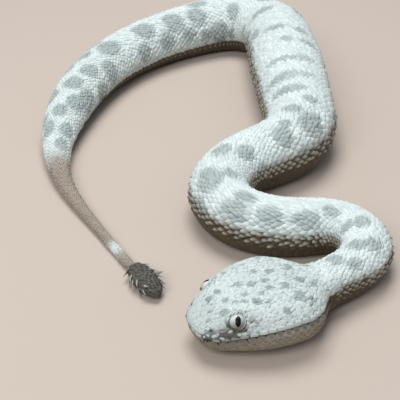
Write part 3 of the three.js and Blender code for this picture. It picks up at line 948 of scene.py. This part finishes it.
def eye_material():
    """The iris and the pupil, drawn on a flat disc as seen from straight before the eye."""
    material, tree, shader = new_finish("wet_iris")
    disc = tree.nodes.new("ShaderNodeUVMap")
    disc.uv_map = "iris"
    apart = tree.nodes.new("ShaderNodeSeparateXYZ")
    wire(tree, disc.outputs[0], apart.inputs[0])
    sideways = figured(tree, "SUBTRACT", apart.outputs[0], 0.5 - PUPIL["back"] / EYE["radius"] / 2)
    upwards = figured(tree, "SUBTRACT", apart.outputs[1], 0.5 - PUPIL["down"] / EYE["radius"] / 2)

    # The pupil is a lens, widest at its middle and pointed above and below.
    half_wide, half_tall = (PUPIL[size] / EYE["radius"] / 4 for size in ("width", "height"))
    end = figured(tree, "POWER", figured(tree, "ABSOLUTE", upwards), PUPIL_BOW)
    bow = figured(tree, "MULTIPLY", end, -half_wide / half_tall ** PUPIL_BOW)
    bow = figured(tree, "ADD", bow, half_wide)
    gap = figured(tree, "SUBTRACT", bow, figured(tree, "ABSOLUTE", sideways))
    pupil = ranged(tree, gap, 0.0, 0.02)
    streak = grained(tree, 0.3, 3)
    # Painted light and shade: the iris is lighter above and towards the snout, darker below.
    slant = figured(tree, "ADD", upwards, figured(tree, "MULTIPLY", sideways, 0.35))
    silver = mixed(tree, ranged(tree, slant, -0.3, 0.3), IRIS["shaded"], IRIS["lit"])
    silver = mixed(tree, ranged(tree, streak, 0.4, 0.7, 0, 0.35), silver, IRIS["streak"])
    apart_by = tree.nodes.new("ShaderNodeVectorMath")
    apart_by.operation = "DISTANCE"
    wire(tree, disc.outputs[0], apart_by.inputs[0])
    apart_by.inputs[1].default_value = (0.5, 0.5, 0)
    # Painted shade round the edge of the iris, where the socket overhangs it.
    silver = mixed(tree, ranged(tree, apart_by.outputs["Value"], 0.39, 0.47), silver, IRIS["edge"])
    wire(tree, mixed(tree, pupil, silver, PUPIL_BLACK), shader.inputs["Base Color"])
    shader.inputs["Roughness"].default_value = 0.5
    shader.inputs["Specular IOR Level"].default_value = 0.12
    shader.inputs["Coat Weight"].default_value = 0.12
    shader.inputs["Coat Roughness"].default_value = 0.04
    return material


iris = eye_material()
for part, side in SIDES:
    point, tailwards, _, out = frame_at(EYE["along"], side * EYE["angle"])
    centre = point - out * EYE["sunk"]
    up = np.array([0, 0, 1.0]) - out * out[2]
    up = up / np.linalg.norm(up)
    ahead = np.cross(up, out) * (1 if np.cross(up, out) @ tailwards < 0 else -1)
    pupil_up = up * math.cos(PUPIL["lean"]) + ahead * math.sin(PUPIL["lean"])
    pupil_side = ahead * math.cos(PUPIL["lean"]) - up * math.sin(PUPIL["lean"])
    ball = bmesh.new()
    disc_layer = ball.loops.layers.uv.new("iris")
    bmesh.ops.create_uvsphere(ball, u_segments=40, v_segments=24, radius=EYE["radius"])
    for face in ball.faces:
        for loop in face.loops:
            loop[disc_layer].uv = [0.5 + flat / EYE["radius"] / 2 for flat in loop.vert.co[:2]]
    rim = bmesh.new()
    bmesh.ops.create_circle(rim, segments=10, radius=EYE_RING["tube"])
    upright = Matrix.Rotation(math.pi / 2, 3, "X")
    bmesh.ops.rotate(rim, verts=rim.verts, cent=(0, 0, 0), matrix=upright)
    bmesh.ops.translate(rim, verts=rim.verts, vec=(EYE_RING["radius"], 0, EYE["sunk"] - 0.15))
    bmesh.ops.spin(rim, geom=rim.verts[:] + rim.edges[:], cent=(0, 0, 0), axis=(0, 0, 1),
                   angle=2 * math.pi, steps=44, use_merge=True)
    bmesh.ops.remove_doubles(rim, verts=rim.verts, dist=1e-4)
    for name, shape, finish, slot in (("eye_ball_", ball, iris, "eye"),
                                      ("eye_rim_", rim, scale_hide, "head_skin")):
        # Painted shade on the rim, darkest low on the snout's side.
        socket_shade = [0.6 + (0.1 * vertex.co.x - 0.15 * vertex.co.y) for vertex in shape.verts]
        for vertex in shape.verts:
            x, y, z = vertex.co
            vertex.co = in_metres(centre + pupil_side * x + pupil_up * y + out * z)
        bmesh.ops.recalc_face_normals(shape, faces=shape.faces)
        mesh = as_mesh(name + part, shape)
        mesh.shade_smooth()
        give(mesh, "low", np.clip(socket_shade, 0, 1))
        piece = shown(name + part, mesh)
        mesh.materials.append(finish)
        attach(piece, "root")
        if finish is iris:
            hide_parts("eye_" + part)

# Lure: the swollen tip of the tail, dark grey, with rough scales and long, thin scales that stand
# out of its sides like the legs of a spider. Rows of legs are (degrees round, number, length).
lure_hide = hide_material("lure_hide", Pale=(0.105, 0.1, 0.084, 1), Grey=(0.045, 0.042, 0.035, 1),
                          Tip=(0.16, 0.16, 0.14, 1))
leg_hide = hide_material("leg_hide", Pale=(0.3, 0.31, 0.28, 1), Grey=(0.16, 0.16, 0.14, 1),
                         Tip=(0.74, 0.79, 0.76, 1))
LEG_ROWS = [(66, 4, 2.2), (96, 5, 2.8)]
bulb_start = LURE["from"] + LURE["stem"]
along, way = [], []
for step, at in enumerate(np.arange(bulb_start + 0.6, bulb_start + LURE["length"] - 0.8, 0.95)):
    share = (at - bulb_start) / LURE["length"]
    swollen = math.sqrt(max(0.05, 1 - (2 * share - 1) ** 2))
    count = max(5, int(round(14 * swollen)))
    along.append(np.full(count, at))
    way.append((np.arange(count) + 0.5 * (step % 2)) / count * 2 - 1)
along, way = np.concatenate(along), np.concatenate(way)
count = len(along)
placed = laid(back_scale, along, way, 2.3, 1.8, 0.45 * jitter(count, 0.2),
              0.1 * chance.standard_normal(count))
coat("lure_scales", back_scale, placed, along, way, slot="lure_skin", finish=lure_hide, tips=0.7,
     mark=0.6 * chance.random(count), low=0)

leg = horn_scale(6, 0.22, 0.05, 1.15, 6)
legs = []
for degrees, number, length in LEG_ROWS:
    for side in (1, -1):
        for spot in range(number):
            share = (spot + 0.5) / number
            legs.append((bulb_start + LURE["length"] * (0.05 + 0.8 * share),
                         side * math.radians(degrees),
                         length * (0.75 + 0.35 * math.sin(math.pi * share))))
along, angle, long = np.array(legs).T
count = len(along)
angle = angle + 0.1 * chance.standard_normal(count)
long = (long * jitter(count, 0.12))[:, None, None]
sway = 0.25 * chance.standard_normal(count)[:, None]
point, tailwards, across, out = frame_at(along, angle)
ahead = (tailwards * np.cos(sway) + across * np.sin(sway))[:, None, :]
beside = (across * np.cos(sway) - tailwards * np.sin(sway))[:, None, :]
corners = leg[0][None, :, :]
placed = point[:, None, :] + ahead * corners[..., :1] * long
placed = placed + beside * corners[..., 1:2] * long * 0.6
placed = placed + out[:, None, :] * corners[..., 2:] * long * 0.6
placed[..., 2] = np.maximum(placed[..., 2], 0.05)
shine = np.clip(leg[0][:, 2], 0, 1)
coat("lure_legs", leg, placed, along, way_of(along, angle), slot="lure_skin", finish=leg_hide,
     tips=shine, mark=0.3, low=0)

# Floor: a plain pale sheet under the animal, which is not a part of it. Dull, so that it takes
# soft shadows and no gloss.
floor_shape = bmesh.new()
bmesh.ops.create_grid(floor_shape, x_segments=1, y_segments=1, size=2)
floor = shown("floor", as_mesh("floor", floor_shape))
floor_finish, _, floor_shader = new_finish("pale_floor")
floor_shader.inputs["Base Color"].default_value = (0.56, 0.48, 0.42, 1)
floor_shader.inputs["Roughness"].default_value = 0.9
floor.data.materials.append(floor_finish)

# Studio: one large soft light high behind the animal, a weak one by the camera, and the camera
# at the photo's height, distance and pitch. Lights are (name, place, size, power).
LIGHTS = [("high_light", (-0.03, 0.18, 0.75), 0.5, 4.45),
          ("near_light", (-0.25, -0.5, 0.5), 0.4, 2.3)]
LIGHTS_AIM = Vector((0, 0, 0.02))
CAMERA = {"place": (3.0, -188.6, 166.0), "down": 31.89, "lens": 81}
for name, place, size, power in LIGHTS:
    light = bpy.data.lights.new(name, "AREA")
    light.shape = "DISK"
    light.size = size
    light.energy = power
    lamp = shown(name, light)
    lamp.location = place
    lamp.rotation_euler = (LIGHTS_AIM - Vector(place)).to_track_quat("-Z", "Y").to_euler()
world = bpy.data.worlds.new("studio")
world.use_nodes = True
sky = world.node_tree.nodes["Background"]
sky.inputs["Color"].default_value = (0.9, 0.95, 1, 1)
sky.inputs["Strength"].default_value = 0.3
bpy.context.scene.world = world
bpy.context.scene.view_settings.view_transform = "Standard"
camera_data = bpy.data.cameras.new("camera")
camera_data.lens = CAMERA["lens"]
camera_data.clip_start = 0.01
camera = shown("camera", camera_data)
camera.location = in_metres(np.array(CAMERA["place"]))
camera.rotation_euler = (math.radians(90 - CAMERA["down"]), 0, 0)
bpy.context.scene.camera = camera
